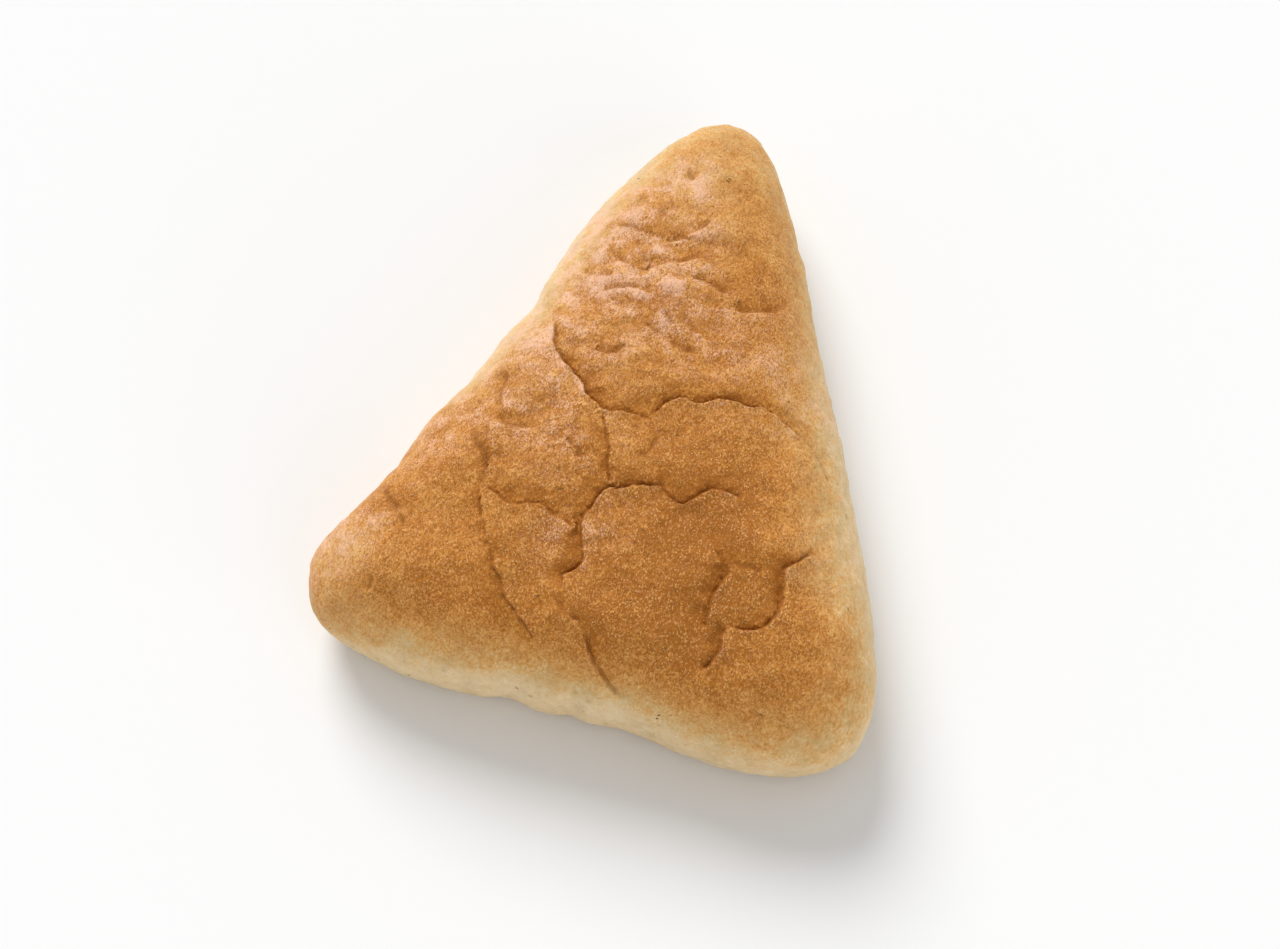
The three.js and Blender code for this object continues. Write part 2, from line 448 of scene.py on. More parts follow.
def plain_skin():
    """Points and triangles of the roll's closed skin, before anything is pressed into it."""
    rings = all_rings()
    starts = np.concatenate([[0], np.cumsum([len(points) for points in rings])])
    faces = []
    for k in range(1, len(rings)):
        faces += lace(int(starts[k - 1]), len(rings[k - 1]), int(starts[k]), len(rings[k]))
    bottom = int(starts[-1])
    top = bottom + 1
    first = len(rings[0])
    for i in range(first):
        faces.append((bottom, (i + 1) % first, i))
    last_start = int(starts[-2])
    last = len(rings[-1])
    for i in range(last):
        faces.append((top, last_start + i, last_start + (i + 1) % last))
    top_level = SHOULDER_LEVEL + float(dome_at(np.float64(0.0), np.float64(0.0)))
    middles = np.array([[HEART[0], HEART[1], 0.0, -1.0], [HEART[0], HEART[1], top_level, 2.0]])
    return np.concatenate([*rings, middles]), faces


# --- Folds and creases ----------------------------------------------------------------------------

def smooth_path(places, step):
    """Points along a smooth curve through the places, about step apart."""
    knots = np.array([places[0], *places, places[-1]], float)
    points = []
    for k in range(1, len(knots) - 2):
        before, start, end, after = knots[k - 1:k + 3]
        count = max(1, round(float(np.linalg.norm(end - start)) / step))
        for t in np.arange(count) / count:
            bend = 2 * start + (end - before) * t
            bend = bend + (2 * before - 5 * start + 4 * end - after) * t ** 2
            bend = bend + (3 * start - before - 3 * end + after) * t ** 3
            points.append(bend / 2)
    points.append(knots[-1])
    return np.array(points)


def drawn_lines(name, lines):
    """A flat curve object with one line for each fold.

    A point's radius is the depth there, and its tilt is the way that the riding side looks.
    """
    curve = bpy.data.curves.new(name, "CURVE")
    curve.dimensions = "3D"
    for line_name, (depth, places) in lines.items():
        path = smooth_path(places, LINE_STEP)
        ride = math.radians(OTHER_RIDES.get(line_name, USUAL_RIDE))
        drawn = curve.splines.new("POLY")
        drawn.points.add(len(path) - 1)
        for k, (x, y) in enumerate(path):
            along = k / (len(path) - 1)
            taper = min(1.0, LINE_END_SHARE + LINE_TAPER * min(along, 1.0 - along))
            drawn.points[k].co = (x * MM, y * MM, 0.0, 1.0)
            drawn.points[k].radius = depth * taper * MM
            drawn.points[k].tilt = ride
    return show(name, curve)


def finer_near(lines, points, faces, band):
    """Splits the triangles near the lines into four, and fits their neighbours to them."""
    paths = np.concatenate([smooth_path(places, LINE_STEP) for _, places in lines.values()])
    tree = mathutils.kdtree.KDTree(len(paths))
    for k, (x, y) in enumerate(paths):
        tree.insert((x, y, 0.0), k)
    tree.balance()
    near = [climb > 0.0 and tree.find((x, y, 0.0))[2] < band for x, y, _, climb in points]
    points = [tuple(point) for point in points]
    halves = {}

    def half(a, b):
        edge = (min(a, b), max(a, b))
        if edge not in halves:
            halves[edge] = len(points)
            points.append(tuple((p + q) / 2 for p, q in zip(points[a], points[b])))
        return halves[edge]

    fine = []
    for face in faces:
        close = [near[k] for k in face]
        if not any(close):
            fine.append(face)
        elif sum(close) == 1:
            turn = close.index(True)
            p, q, r = face[turn:] + face[:turn]
            m = half(p, q)
            n = half(r, p)
            fine += [(p, m, n), (m, q, n), (q, r, n)]
        else:
            p, q, r = face
            m = half(p, q)
            n = half(q, r)
            o = half(r, p)
            fine += [(p, m, o), (m, q, n), (o, n, r), (m, n, o)]
    return np.array(points), fine


def spread_over(points, usual, places):
    """The usual amount at each point, and what each place adds round itself."""
    amounts = np.full(len(points), usual)
    for (middle_x, middle_y), reach, amount in places:
        away = np.hypot(points[:, 0] - middle_x, points[:, 1] - middle_y) / reach
        amounts = amounts + amount * np.exp(-away * away)
    return amounts


def bake_of(points):
    """How brown each point is, from 0, pale, past 0.75, a usual brown, to 1, the darkest."""
    x, y, _, climb = points.T
    direction = np.degrees(np.arctan2(y - HEART[1], x - HEART[0]))
    known = list(BROWNING)
    pale = np.interp(direction, known, [pair[0] for pair in BROWNING.values()], period=360.0)
    brown = np.interp(direction, known, [pair[1] for pair in BROWNING.values()], period=360.0)
    rise = np.clip((climb - pale) / (brown - pale), 0.0, 1.0)
    return rise * rise * (3.0 - 2.0 * rise) * spread_over(points, USUAL_TONE, TOP_TONES)


def skin_object():
    """The plain skin as an object, centred as the solid is, with what is known at each point."""
    points, faces = plain_skin()
    for lines, band in FINE_BANDS:
        points, faces = finer_near(lines, points, faces, band)
    low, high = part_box(ROLL_NODE)
    places = points[:, :3] * MM
    for axis in range(2):
        places[:, axis] += (low[axis] + high[axis] - places[:, axis].min() - places[:, axis].max()) / 2
    mesh = bpy.data.meshes.new("roll_skin")
    mesh.from_pydata(places.tolist(), [], faces)
    known = {
        "climb": points[:, 3],
        "bake": bake_of(points),
        # The flour value is real flour and also where a sheen is painted.
        "flour": spread_over(points, USUAL_FLOUR_AND_SHEEN, FLOUR_AND_SHEEN_PLACES),
        "wrinkled": spread_over(points, USUAL_WRINKLES, WRINKLED_PLACES),
    }
    for name, values in known.items():
        attribute = mesh.attributes.new(name, "FLOAT", "POINT")
        attribute.data.foreach_set("value", values.astype(np.float32))
    mesh.update()
    return show("roll_skin", mesh)


# --- Node helpers ---------------------------------------------------------------------------------

def live_socket(sockets, name):
    """The socket with this number, or the first one in use with this name."""
    if isinstance(name, int):
        return sockets[name]
    return next(socket for socket in sockets if socket.enabled and socket.name == name)


def put(tree, kind, inputs=None, **settings):
    """Adds a node, sets it up, and joins or fills its inputs."""
    node = tree.nodes.new(kind)
    for name, value in settings.items():
        setattr(node, name, value)
    for name, value in (inputs or {}).items():
        socket = live_socket(node.inputs, name)
        if isinstance(value, bpy.types.NodeSocket):
            tree.links.new(value, socket)
        else:
            socket.default_value = value
    return node


def maths(tree, operation, first, second=0.0):
    return put(tree, "ShaderNodeMath", {0: first, 1: second}, operation=operation).outputs[0]


def times(tree, first, *rest):
    for factor in rest:
        first = maths(tree, "MULTIPLY", first, factor)
    return first


def plus(tree, first, *rest):
    for term in rest:
        first = maths(tree, "ADD", first, term)
    return first


def minus(tree, first, second):
    return maths(tree, "SUBTRACT", first, second)


def vector_maths(tree, operation, first, second=(0.0, 0.0, 0.0), output=0):
    inputs = {0: first, 1: second}
    return put(tree, "ShaderNodeVectorMath", inputs, operation=operation).outputs[output]


def stretched(tree, vector, amount):
    inputs = {0: vector, "Scale": amount}
    return put(tree, "ShaderNodeVectorMath", inputs, operation="SCALE").outputs[0]


def smooth_step(tree, value, low, high):
    """0 below low, 1 above high, and smooth between them."""
    inputs = {"Value": value, "From Min": low, "From Max": high, "To Min": 0.0, "To Max": 1.0}
    node = put(tree, "ShaderNodeMapRange", inputs, interpolation_type="SMOOTHSTEP")
    return node.outputs["Result"]


def noise(tree, place, spacing, detail=2.0, roughness=0.5, output="Fac"):
    """Smooth noise about 0.5 whose lumps are about spacing apart."""
    scale = maths(tree, "DIVIDE", 1.0, spacing)
    inputs = {"Vector": place, "Scale": scale, "Detail": detail, "Roughness": roughness}
    return put(tree, "ShaderNodeTexNoise", inputs).outputs[output]


def hump(tree, distance, half_width):
    """1 at no distance, falling smoothly to 0 over a few half widths."""
    away = maths(tree, "DIVIDE", distance, half_width)
    return maths(tree, "EXPONENT", times(tree, away, away, -1.0))


def fall(tree, distance, reach):
    """1 at no distance, falling at once and then ever more slowly to 0 at reach."""
    left = minus(tree, 1.0, maths(tree, "DIVIDE", distance, reach))
    left = maths(tree, "MAXIMUM", left, 0.0)
    return times(tree, left, left)


def new_geometry_tree(name, inputs):
    """A geometry tree with one geometry in and out, and named inputs of the given kinds."""
    tree = bpy.data.node_groups.new(name, "GeometryNodeTree")
    tree.interface.new_socket("Geometry", in_out="INPUT", socket_type="NodeSocketGeometry")
    tree.interface.new_socket("Geometry", in_out="OUTPUT", socket_type="NodeSocketGeometry")
    for socket_name, kind in inputs.items():
        tree.interface.new_socket(socket_name, in_out="INPUT", socket_type=kind)
    return tree


def end_tree(tree, geometry, material):
    """Ends a geometry tree in Realize Instances and Set Material."""
    real = put(tree, "GeometryNodeRealizeInstances", {"Geometry": geometry})
    coated = put(tree, "GeometryNodeSetMaterial", {"Geometry": real.outputs[0], "Material": material})
    put(tree, "NodeGroupOutput", {"Geometry": coated.outputs[0]})


def run_geometry_tree(target, tree, values, name):
    """Runs the tree on an object with these input values, and gives the result as a plain mesh."""
    modifier = target.modifiers.new(tree.name, "NODES")
    modifier.node_group = tree
    identifiers = {}
    for item in tree.interface.items_tree:
        if item.in_out == "INPUT":
            identifiers[item.name] = item.identifier
    for socket_name, value in values.items():
        modifier[identifiers[socket_name]] = value
    depsgraph = bpy.context.evaluated_depsgraph_get()
    evaluated = target.evaluated_get(depsgraph)
    mesh = bpy.data.meshes.new_from_object(evaluated, depsgraph=depsgraph)
    mesh.name = name
    mesh.shade_smooth()
    target.modifiers.remove(modifier)
    return mesh


def show(name, data):
    piece = bpy.data.objects.new(name, data)
    bpy.context.scene.collection.objects.link(piece)
    return piece


# --- The crust's relief ---------------------------------------------------------------------------

# The pinched network: how rounded its creases are, how full the puffs between them, and its middle.
PINCH_SOFTNESS = 0.012
PINCH_POWER = 0.6
PINCH_MIDDLE = 0.25

# Wrinkles have at least this strength everywhere on the top.
LEAST_WRINKLES = 0.25

# Where on the way up each kind of relief begins and is full. The way runs from -1 on the base, past 0
# at the widest and 1 at the dome's edge, to 2 in the middle of the top.
LINES_FROM = (0.0, 0.4)
TOP_RELIEF_FROM = (0.3, 0.8)
SIDE_RELIEF_FROM = (-0.95, -0.5)


def attribute_value(tree, name):
    return put(tree, "GeometryNodeInputNamedAttribute", {"Name": name}).outputs["Attribute"]


def keep_value(tree, geometry, name, value):
    inputs = {"Geometry": geometry, "Name": name, "Value": value}
    return put(tree, "GeometryNodeStoreNamedAttribute", inputs).outputs["Geometry"]


def nearest_line(tree, drawn, place):
    """The nearest place on the drawn lines, its distance, and the line's depth and ride there."""
    lines = put(tree, "GeometryNodeObjectInfo", {"Object": drawn}).outputs["Geometry"]
    lines = keep_value(tree, lines, "depth", put(tree, "GeometryNodeInputRadius").outputs[0])
    lines = keep_value(tree, lines, "ride", put(tree, "GeometryNodeInputCurveTilt").outputs[0])
    wires = put(tree, "GeometryNodeCurveToMesh", {"Curve": lines}).outputs["Mesh"]
    inputs = {"Geometry": wires, "Sample Position": place}
    near = put(tree, "GeometryNodeProximity", inputs, target_element="EDGES")
    index = put(tree, "GeometryNodeSampleNearest", inputs).outputs["Index"]

    def there(name):
        inputs = {"Geometry": wires, "Value": attribute_value(tree, name), "Index": index}
        return put(tree, "GeometryNodeSampleIndex", inputs).outputs["Value"]

    change = smooth_step(tree, noise(tree, place, DEPTH_CHANGE_SPACING, 3.0), *DEPTH_CHANGE_RANGE)
    share = plus(tree, times(tree, change, ADDED_DEPTH_SHARE), LEAST_DEPTH_SHARE)
    depth = times(tree, there("depth"), share)
    ride = there("ride")
    inputs = {"X": maths(tree, "COSINE", ride), "Y": maths(tree, "SINE", ride)}
    ride_way = put(tree, "ShaderNodeCombineXYZ", inputs).outputs[0]
    return near.outputs["Position"], near.outputs["Distance"], depth, ride_way


def pressed(tree, given, drawn, place, half_width):
    """Height of the crust about the drawn lines, and how much crack, lip and hollow is at each point.

    The crust slopes down to a line on one side, and rides over it in a soft lip on the other.
    """
    nearest, distance, depth, ride_way = nearest_line(tree, drawn, place)
    away = vector_maths(tree, "NORMALIZE", vector_maths(tree, "SUBTRACT", place, nearest))
    side = vector_maths(tree, "DOT_PRODUCT", away, ride_way, output=1)
    across = times(tree, side, distance)
    riding = smooth_step(tree, across, times(tree, half_width, -1.0), half_width)
    lip = times(tree, fall(tree, distance, given["Lip reach"]), riding)
    hollow = times(tree, fall(tree, distance, given["Valley reach"]), minus(tree, 1.0, riding))
    crack = hump(tree, distance, half_width)
    crack = times(tree, crack, maths(tree, "MINIMUM", depth, given["Crack depth"]))
    slope = minus(tree, times(tree, lip, given["Lip share"]), times(tree, hollow, given["Valley share"]))
    height = minus(tree, times(tree, slope, depth), crack)
    depth = maths(tree, "DIVIDE", depth, MM)
    marks = {
        "fold": maths(tree, "DIVIDE", crack, given["Crack depth"]),
        "lip": times(tree, lip, lip, depth),
        "hollow": times(tree, hollow, depth),
    }
    return height, marks


def relief_tree():
    """Presses folds, creases, puffs, wrinkles and grain into the skin along its normals."""
    inputs = {"Folds": "NodeSocketObject", "Creases": "NodeSocketObject", "Crust": "NodeSocketMaterial"}
    inputs.update({name: "NodeSocketFloat" for name in RELIEF})
    tree = new_geometry_tree("crust_relief", inputs)
    given = put(tree, "NodeGroupInput").outputs
    position = put(tree, "GeometryNodeInputPosition").outputs[0]
    climb = attribute_value(tree, "climb")
    on_top = smooth_step(tree, climb, *TOP_RELIEF_FROM)
    on_side = smooth_step(tree, climb, *SIDE_RELIEF_FROM)
    folded = smooth_step(tree, climb, *LINES_FROM)

    wander = noise(tree, position, given["Ragged spacing"], 4.0, 0.55, output="Color")
    wander = vector_maths(tree, "SUBTRACT", wander, (0.5, 0.5, 0.5))
    wander = stretched(tree, wander, given["Raggedness"])
    place = vector_maths(tree, "ADD", position, wander)
    place = vector_maths(tree, "MULTIPLY", place, (1.0, 1.0, 0.0))
    fold_height, fold_marks = pressed(tree, given, given["Folds"], place, given["Fold half width"])
    crease_height, crease_marks = pressed(tree, given, given["Creases"], place,
                                          given["Crease half width"])
    line_height = times(tree, plus(tree, fold_height, crease_height), folded)

    wrinkled = attribute_value(tree, "wrinkled")
    puff = minus(tree, noise(tree, position, given["Puff spacing"], 1.0), 0.5)
    puff = times(tree, puff, given["Puff height"])
    inputs = {"Vector": position, "Angle": -WRINKLES_RUN}
    drawn_out = put(tree, "ShaderNodeVectorRotate", inputs, rotation_type="Z_AXIS").outputs[0]
    drawn_out = vector_maths(tree, "MULTIPLY", drawn_out, WRINKLE_STRETCH)
    askew = vector_maths(tree, "ADD", vector_maths(tree, "MULTIPLY", position, (0.5, 0.5, 0.5)),
                         stretched(tree, drawn_out, 0.5))
    pinch = minus(tree, noise(tree, askew, given["Pinch spacing"], 2.0), 0.5)
    pinch = plus(tree, times(tree, pinch, pinch), PINCH_SOFTNESS ** 2)
    pinch = minus(tree, maths(tree, "POWER", pinch, PINCH_POWER / 2), PINCH_MIDDLE)
    pinch = times(tree, pinch, given["Pinch height"], wrinkled)
    wrinkle = minus(tree, noise(tree, drawn_out, given["Wrinkle spacing"], 3.0, 0.55), 0.5)
    wrinkle = times(tree, wrinkle, given["Wrinkle height"], plus(tree, wrinkled, LEAST_WRINKLES))
    grain = minus(tree, noise(tree, position, given["Grain spacing"], 1.0), 0.5)
    grain = times(tree, grain, given["Grain height"])
    small = plus(tree, line_height, times(tree, plus(tree, pinch, wrinkle, grain), on_top))

    wave = minus(tree, noise(tree, position, given["Side wave spacing"], 2.0, 0.4), 0.5)
    dimple = minus(tree, noise(tree, position, given["Side dimple spacing"], 2.0), 0.5)
    upright = vector_maths(tree, "MULTIPLY", position, PLEAT_STRETCH)
    pleat = minus(tree, noise(tree, upright, given["Side pleat spacing"], 2.0), 0.5)
    side_height = plus(tree, times(tree, wave, given["Side wave height"]),
                       times(tree, dimple, given["Side dimple height"]),
                       times(tree, pleat, given["Side pleat height"]))
    height = plus(tree, small, times(tree, puff, on_top), times(tree, side_height, on_side))

    skin = keep_value(tree, given["Geometry"], "relief", maths(tree, "DIVIDE", small, MM))
    for name in fold_marks:
        mark = times(tree, plus(tree, fold_marks[name], crease_marks[name]), folded)
        skin = keep_value(tree, skin, name, mark)
    offset = stretched(tree, put(tree, "GeometryNodeInputNormal").outputs[0], height)
    moved = put(tree, "GeometryNodeSetPosition", {"Geometry": skin, "Offset": offset})
    end_tree(tree, moved.outputs[0], given["Crust"])
    return tree


def make_roll(crust):
    skin = skin_object()
    folds = drawn_lines("fold_lines", FOLDS)
    creases = drawn_lines("crease_lines", CREASES)
    values = {"Folds": folds, "Creases": creases, "Crust": crust, **RELIEF}
    mesh = run_geometry_tree(skin, relief_tree(), values, "sourdough_roll")
    for helper in (skin, folds, creases):
        bpy.data.objects.remove(helper)
    return show("sourdough_roll", mesh)


# --- Loose flour and bran -------------------------------------------------------------------------

# How brown the crust is where loose flour begins and is full, and the least share of it there.
FLOURED_FROM = (0.3, 0.6)
LEAST_LOOSE_FLOUR = 0.35

# Where on the way up bran flecks begin and are full, and how much a loose thing's length varies.
FLECKED_FROM = (-0.8, -0.5)
LENGTH_SPREAD = (0.8, 1.2)


def scatter_tree(name, thick_where):
    """Puts small lumps on a mesh's faces, as thick as thick_where says, flat on the crust."""
    kinds = {"Density": "NodeSocketFloat", "Smallest": "NodeSocketFloat", "Largest": "NodeSocketFloat",
             "Flatness": "NodeSocketFloat", "Length": "NodeSocketFloat", "Seed": "NodeSocketInt",
             "Finish": "NodeSocketMaterial"}
    tree = new_geometry_tree(name, kinds)
    given = put(tree, "NodeGroupInput").outputs
    density = times(tree, thick_where(tree), given["Density"])
    spread = put(tree, "GeometryNodeDistributePointsOnFaces",
                 {"Mesh": given["Geometry"], "Density": density, "Seed": given["Seed"]})

    def random_value(low, high, shift):
        seed = plus(tree, given["Seed"], float(shift))
        node = put(tree, "FunctionNodeRandomValue", {2: low, 3: high, "Seed": seed}, data_type="FLOAT")
        return node.outputs[1]

    turn = put(tree, "FunctionNodeAxisAngleToRotation", {"Angle": random_value(0.0, 2 * math.pi, 1)})
    inputs = {"Rotation": spread.outputs["Rotation"], "Rotate By": turn.outputs[0]}
    turned = put(tree, "FunctionNodeRotateRotation", inputs, rotation_space="LOCAL")
    size = random_value(given["Smallest"], given["Largest"], 2)
    length = times(tree, given["Length"], random_value(*LENGTH_SPREAD, 3))
    shape = put(tree, "ShaderNodeCombineXYZ", {"X": length, "Y": 1.0, "Z": given["Flatness"]})
    lump = put(tree, "GeometryNodeMeshIcoSphere", {"Radius": 1.0, "Subdivisions": 1})
    inputs = {"Points": spread.outputs["Points"], "Instance": lump.outputs["Mesh"],
              "Rotation": turned.outputs[0], "Scale": stretched(tree, shape.outputs[0], size)}
    lumps = put(tree, "GeometryNodeInstanceOnPoints", inputs)
    end_tree(tree, lumps.outputs[0], given["Finish"])
    return tree


def on_floured_top(tree):
    """Thick on the brown top, most of all where flour settled."""
    on_top = smooth_step(tree, attribute_value(tree, "bake"), *FLOURED_FROM)
    return times(tree, on_top, plus(tree, attribute_value(tree, "flour"), LEAST_LOOSE_FLOUR))


def on_wall_and_top(tree):
    """Thin all over, but for the base."""
    return smooth_step(tree, attribute_value(tree, "climb"), *FLECKED_FROM)


def make_loose(name, bread, thick_where, sizes, seed, finish):
    values = {**sizes, "Seed": seed, "Finish": finish}
    mesh = run_geometry_tree(bread, scatter_tree(name, thick_where), values, name)
    return show(name, mesh)


# --- Finishes -------------------------------------------------------------------------------------

# The crust's colour by how brown it is, and the colours that lie over it, some of which are painted
# sheen, glints and shade.
BAKE_COLOURS = (
    (0.0, (0.82, 0.62, 0.36)),
    (0.25, (0.76, 0.46, 0.165)),
    (0.5, (0.67, 0.305, 0.066)),
    (0.78, (0.51, 0.19, 0.026)),
    (1.0, (0.39, 0.13, 0.013)),
)
# The flour veil is the colour of real flour and also a painted sheen.
FLOUR_AND_SHEEN_VEIL = (0.87, 0.52, 0.36)
# Light specks are the crust's grain, and on raised crust also painted glints.
LIGHT_SPECK_AND_GLINT = (0.86, 0.48, 0.17)
DARK_SPECK = (0.3, 0.1, 0.012)
# Painted shade in the folds' cracks.
FOLD_SHADE = (0.25, 0.085, 0.012)
# Darker mottles on the pale wall, and painted shade low down on it.
SIDE_MOTTLE_AND_SHADE = (0.6, 0.43, 0.2)
SIDE_BLOOM = (0.88, 0.74, 0.52)
SIDE_SPOT = (0.48, 0.31, 0.11)
BASE_TOAST = (0.45, 0.24, 0.09)
GRAIN_CREAM = (0.84, 0.52, 0.22)
BRAN_BROWN = (0.34, 0.17, 0.045)

# Patterns: how far apart the lumps of each lie, in millimetres, how detailed and how rough it is.
DRIFT = (9.0, 2.0, 0.5)
MOTTLE = (2.6, 3.0, 0.6)
STREAK = (0.5, 3.0, 0.7)
FLOUR_PATCHES = (4.0, 3.0, 0.6)
SIDE_CLOUDS = (5.0, 5.0, 0.7)
SIDE_BLOOMS = (2.0, 4.0, 0.7)
FINE_GRIT = (0.4, 2.0, 0.7)
COARSE_GRIT = (1.5, 3.0, 0.5)
LOOSE_SHADE = (1.2, 2.0, 0.5)
GRAIN_CELL = 0.2

# How much each of these browns the crust, and the share of it that is left on the pale wall. The hollow
# term is painted shade, and the relief term a painted highlight that pales raised crust.
DRIFT_TONE = 0.45
MOTTLE_TONE = 0.7
STREAK_TONE = 1.35
HOLLOW_SHADE_TONE = 0.08
RELIEF_HIGHLIGHT_TONE = -0.15
PALE_TONE_SHARE = 0.25

# How much flour and painted sheen cover the crust where flour settled, how much painted highlight lies
# on a lip, how much of both a hollow loses as painted shade, and how much that differs from grain to
# grain.
SETTLED_DUST_AND_SHEEN = 0.8
LIP_DUST_AND_HIGHLIGHT = 0.7
HOLLOW_DUST_AND_SHADE = -0.4
GRAIN_DUST = 0.7

# How strongly each colour covers the crust, and how much flour takes off the dark specks.
FLOUR_AND_SHEEN_VEIL_SHARE = 0.85
LIGHT_SPECK_AND_GLINT_SHARE = 0.7
DARK_SPECK_SHARE = 0.7
FLOUR_OVER_DARK = 0.3
FOLD_SHADE_SHARE = 0.5
SIDE_MOTTLE_AND_SHADE_SHARE = 0.45
SIDE_BLOOM_SHARE = 0.4

# The levels, in millimetres, between which the wall is painted darker as shade towards its foot and the
# foot toasted, and how far the toasted edge wanders.
LOW_WALL_SHADE = (11.0, 1.0)
TOASTED_FOOT = (1.6, 0.2)
FOOT_WANDER = 1.5

# How rough and how shiny bread is, and how high its grit stands.
CRUST_ROUGHNESS = 0.6
LEAST_ROUGHNESS = 0.45
ADDED_ROUGHNESS = 0.3
LOOSE_ROUGHNESS = 0.9
BREAD_SHEEN = 0.15
GRIT_HEIGHT = 0.24 * MM
COARSE_GRIT_SHARE = 1.4
GRAIN_GRIT_SHARE = 0.25

# The darkest of the loose things, as a share of their colour.
GRAIN_DARKEST = 0.8
BRAN_DARKEST = 0.5

# The crust's fine grain lies in streaks: how far they are pulled about, and how much they are squeezed.
SWIRL = 1.6
SWIRL_SPACING = 5.0
STREAK_SQUEEZE = (1.0, 0.68, 0.8)

# Small toasted spots on the pale wall: how far apart, the share left bare, and how strong. A spot's edge
# lies between these shares of its spacing.
SIDE_SPOTS = (
    (1.3, 0.82, 0.6),
    (2.6, 0.7, 0.6),
    (5.5, 0.7, 0.35),
)
SPOT_EDGE = (0.34, 0.1)


def mixed(tree, share, first, second):
    """The first colour with this share of the second."""
    inputs = {"Factor": share, "A": first, "B": second}
    node = put(tree, "ShaderNodeMix", data_type="RGBA")
    for name, value in inputs.items():
        socket = live_socket(node.inputs, name)
        if isinstance(value, bpy.types.NodeSocket):
            tree.links.new(value, socket)
        elif isinstance(value, tuple):
            socket.default_value = (*value, 1.0)
        else:
            socket.default_value = value
    return live_socket(node.outputs, "Result")


def new_finish(name, roughness):
    """A material with its Principled shader set up, and places on it in millimetres."""
    finish = bpy.data.materials.new(name)
    finish.use_nodes = True
    tree = finish.node_tree
    tree.nodes.clear()
    inputs = {"Roughness": roughness, "Specular IOR Level": BREAD_SHEEN}
    shader = put(tree, "ShaderNodeBsdfPrincipled", inputs)
    put(tree, "ShaderNodeOutputMaterial", {"Surface": shader.outputs["BSDF"]})
    place = put(tree, "ShaderNodeTexCoord").outputs["Object"]
    return finish, tree, shader, stretched(tree, place, 1.0 / MM)


def mesh_value(tree, name):
    return put(tree, "ShaderNodeAttribute", attribute_name=name).outputs["Fac"]


def cells(tree, place, spacing):
    """A random value and a second one for each small cell, and the distance to its middle."""
    inputs = {"Vector": place, "Scale": 1.0 / spacing}
    found = put(tree, "ShaderNodeTexVoronoi", inputs)
    parts = put(tree, "ShaderNodeSeparateColor", {"Color": found.outputs["Color"]})
    return parts.outputs[0], parts.outputs[1], found.outputs["Distance"]


def streaky(tree, place):
    """Places pulled about and squeezed, so that a pattern read there lies in short swirling streaks."""
    swirl = noise(tree, place, SWIRL_SPACING, 1.0, output="Color")
    swirl = stretched(tree, vector_maths(tree, "SUBTRACT", swirl, (0.5, 0.5, 0.5)), SWIRL)
    return vector_maths(tree, "MULTIPLY", vector_maths(tree, "ADD", place, swirl), STREAK_SQUEEZE)


